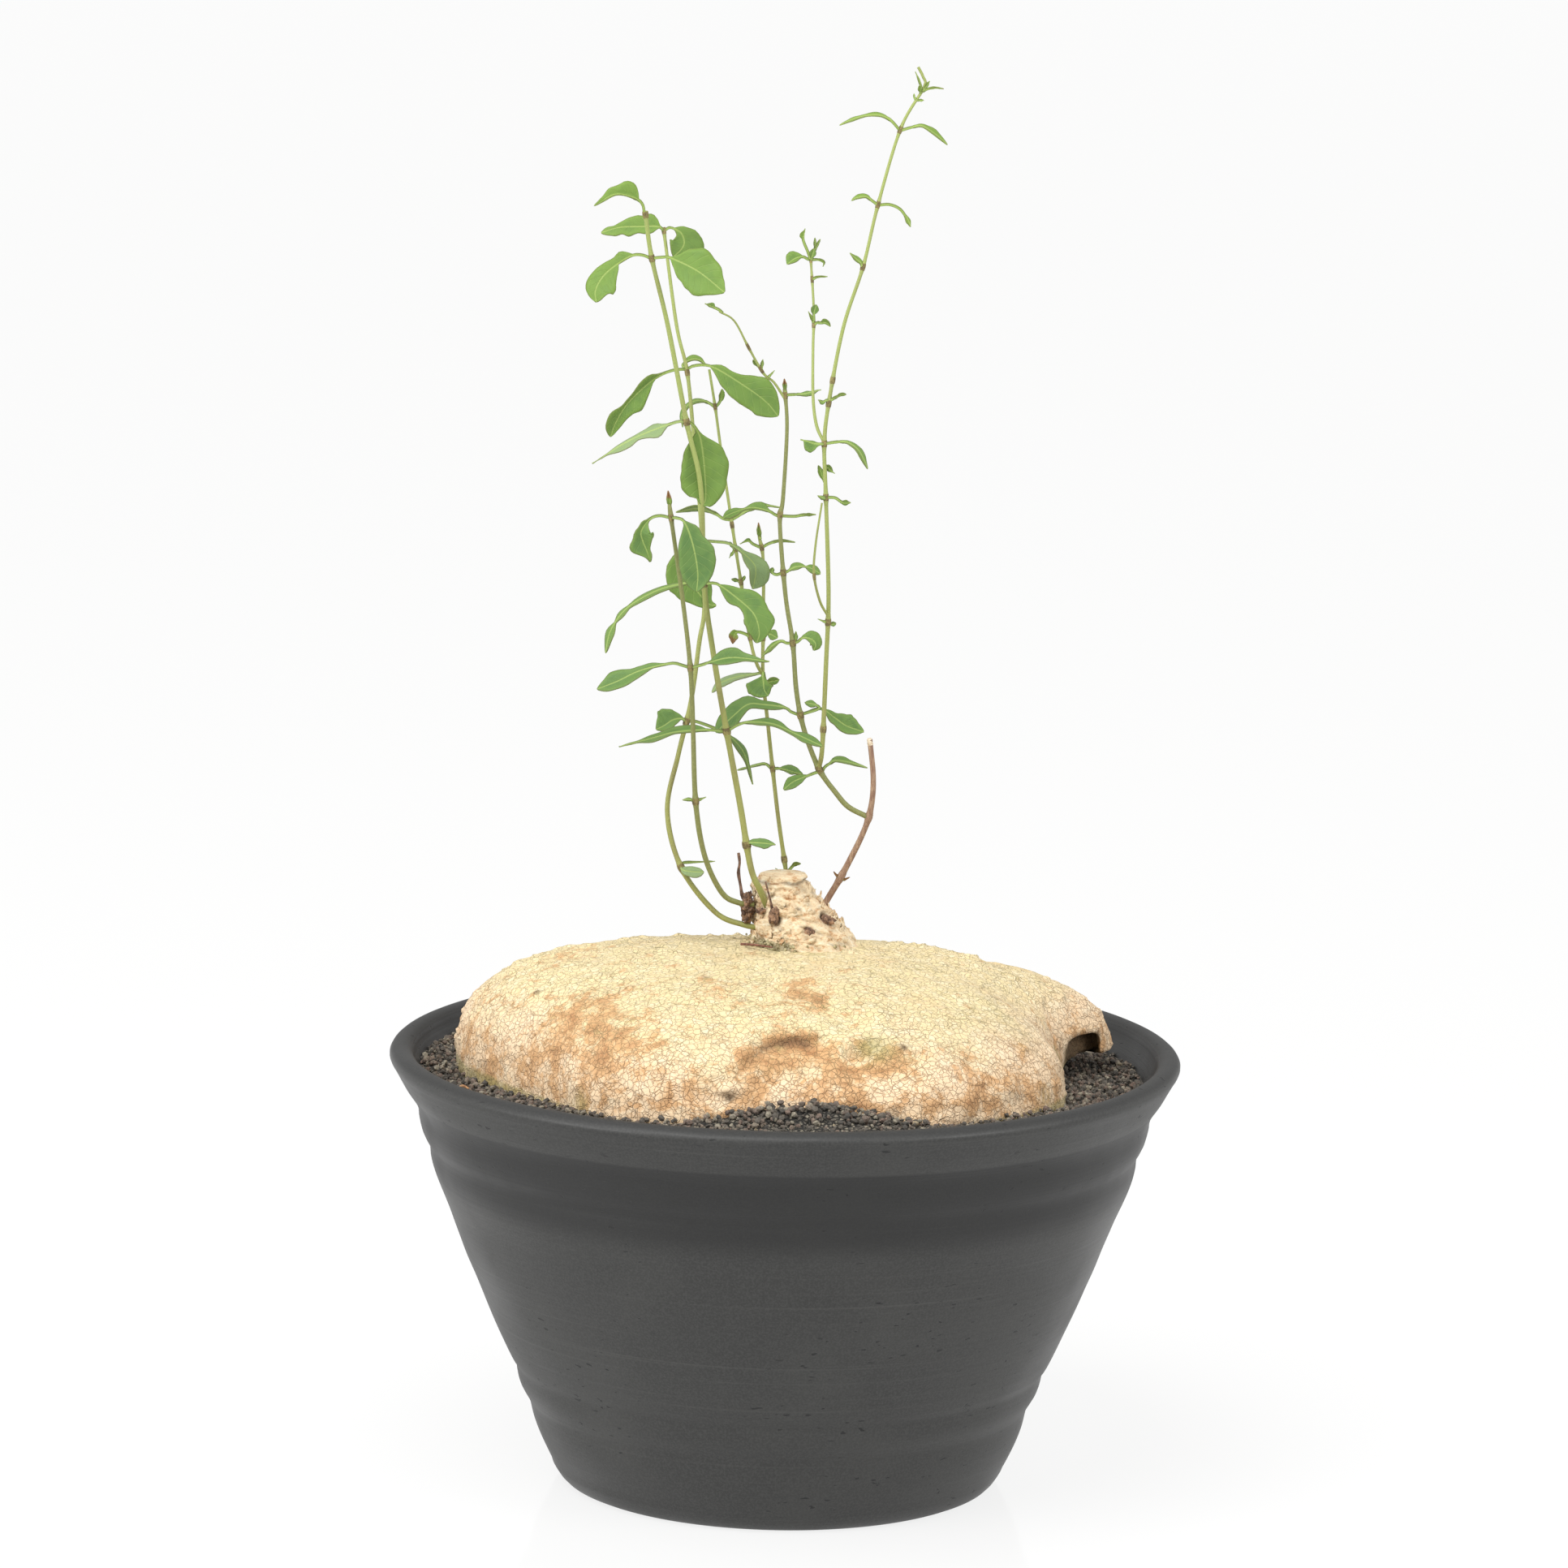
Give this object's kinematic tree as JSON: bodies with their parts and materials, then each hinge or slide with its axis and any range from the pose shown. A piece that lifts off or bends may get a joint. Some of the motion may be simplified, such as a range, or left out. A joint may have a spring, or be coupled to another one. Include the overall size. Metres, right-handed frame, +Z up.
{
  "type": "potted plant",
  "caption": "Caudiciform succulent: a squat corky tuber with thin leafy stems, set in grit in a wide dark turned pot.",
  "frame": {"origin": "centre of the pot's underside, on the surface it stands on", "axes": "+Z up along the pot's axis; the pictured front, with the nearer stems, faces -Y; +X to the viewer's right"},
  "size_m": [0.24, 0.24, 0.4318],
  "materials": {
    "pot": "satin charcoal, finely speckled, with throwing rings",
    "drain_screen": "dull dark mesh",
    "soil": "loose dark grit",
    "caudex": "matte, finely cracked cream to orange-brown cork",
    "green_stem": "smooth olive green",
    "woody_stem": "dry reddish-brown bark",
    "leaf": "soft satin mid green with pale veins"
  },
  "bodies": {
    "root": {"pot": "pot", "drain_screen": "drain_screen", "soil": "soil", "caudex": "caudex", "stem_front": "green_stem", "stem_left_tall": "green_stem", "stem_left_short": "green_stem", "stem_centre": "green_stem", "stub_right": "woody_stem", "dead_twig_left": "woody_stem", "dead_twig_front": "woody_stem", "twig_centre": "green_stem", "stem_right": "green_stem", "stem_tall": "green_stem", "twig_fork": "green_stem", "twig_side": "green_stem", "twig_top_left": "green_stem", "leaf_front_1_right": "leaf", "leaf_front_2_left": "leaf", "leaf_front_2_right": "leaf", "leaf_front_3_left": "leaf", "leaf_front_3_right": "leaf", "leaf_front_4_left": "leaf", "leaf_front_4_right": "leaf", "leaf_front_5_left": "leaf", "leaf_front_5_right": "leaf", "leaf_front_6_left": "leaf", "leaf_tall_left_1_right": "leaf", "leaf_tall_left_2_left": "leaf", "leaf_tall_left_2_right": "leaf", "leaf_tall_left_3_left": "leaf", "leaf_tall_left_3_right": "leaf", "leaf_tall_left_4_left": "leaf", "leaf_tall_left_4_right": "leaf", "leaf_tall_left_5_left": "leaf", "leaf_tall_left_5_right": "leaf", "leaf_short_left_2_left": "leaf", "leaf_short_left_2_right": "leaf", "leaf_short_left_3_left": "leaf", "leaf_short_left_3_right": "leaf", "leaf_centre_1_right": "leaf", "leaf_centre_2_front": "leaf", "leaf_centre_2_left": "leaf", "leaf_twig_4_left": "leaf", "leaf_twig_5_left": "leaf", "leaf_right_1_left": "leaf", "leaf_right_1_right": "leaf", "leaf_right_2_left": "leaf", "leaf_right_2_right": "leaf", "leaf_right_3_left": "leaf", "leaf_right_3_right": "leaf", "leaf_right_4_right": "leaf", "leaf_right_5_left": "leaf", "leaf_tall_3_right": "leaf", "leaf_tall_6_left": "leaf", "leaf_tall_6_right": "leaf", "leaf_tall_7_left": "leaf", "leaf_tall_7_right": "leaf", "leaf_fork_2_left": "leaf"}
  },
  "joints": []
}
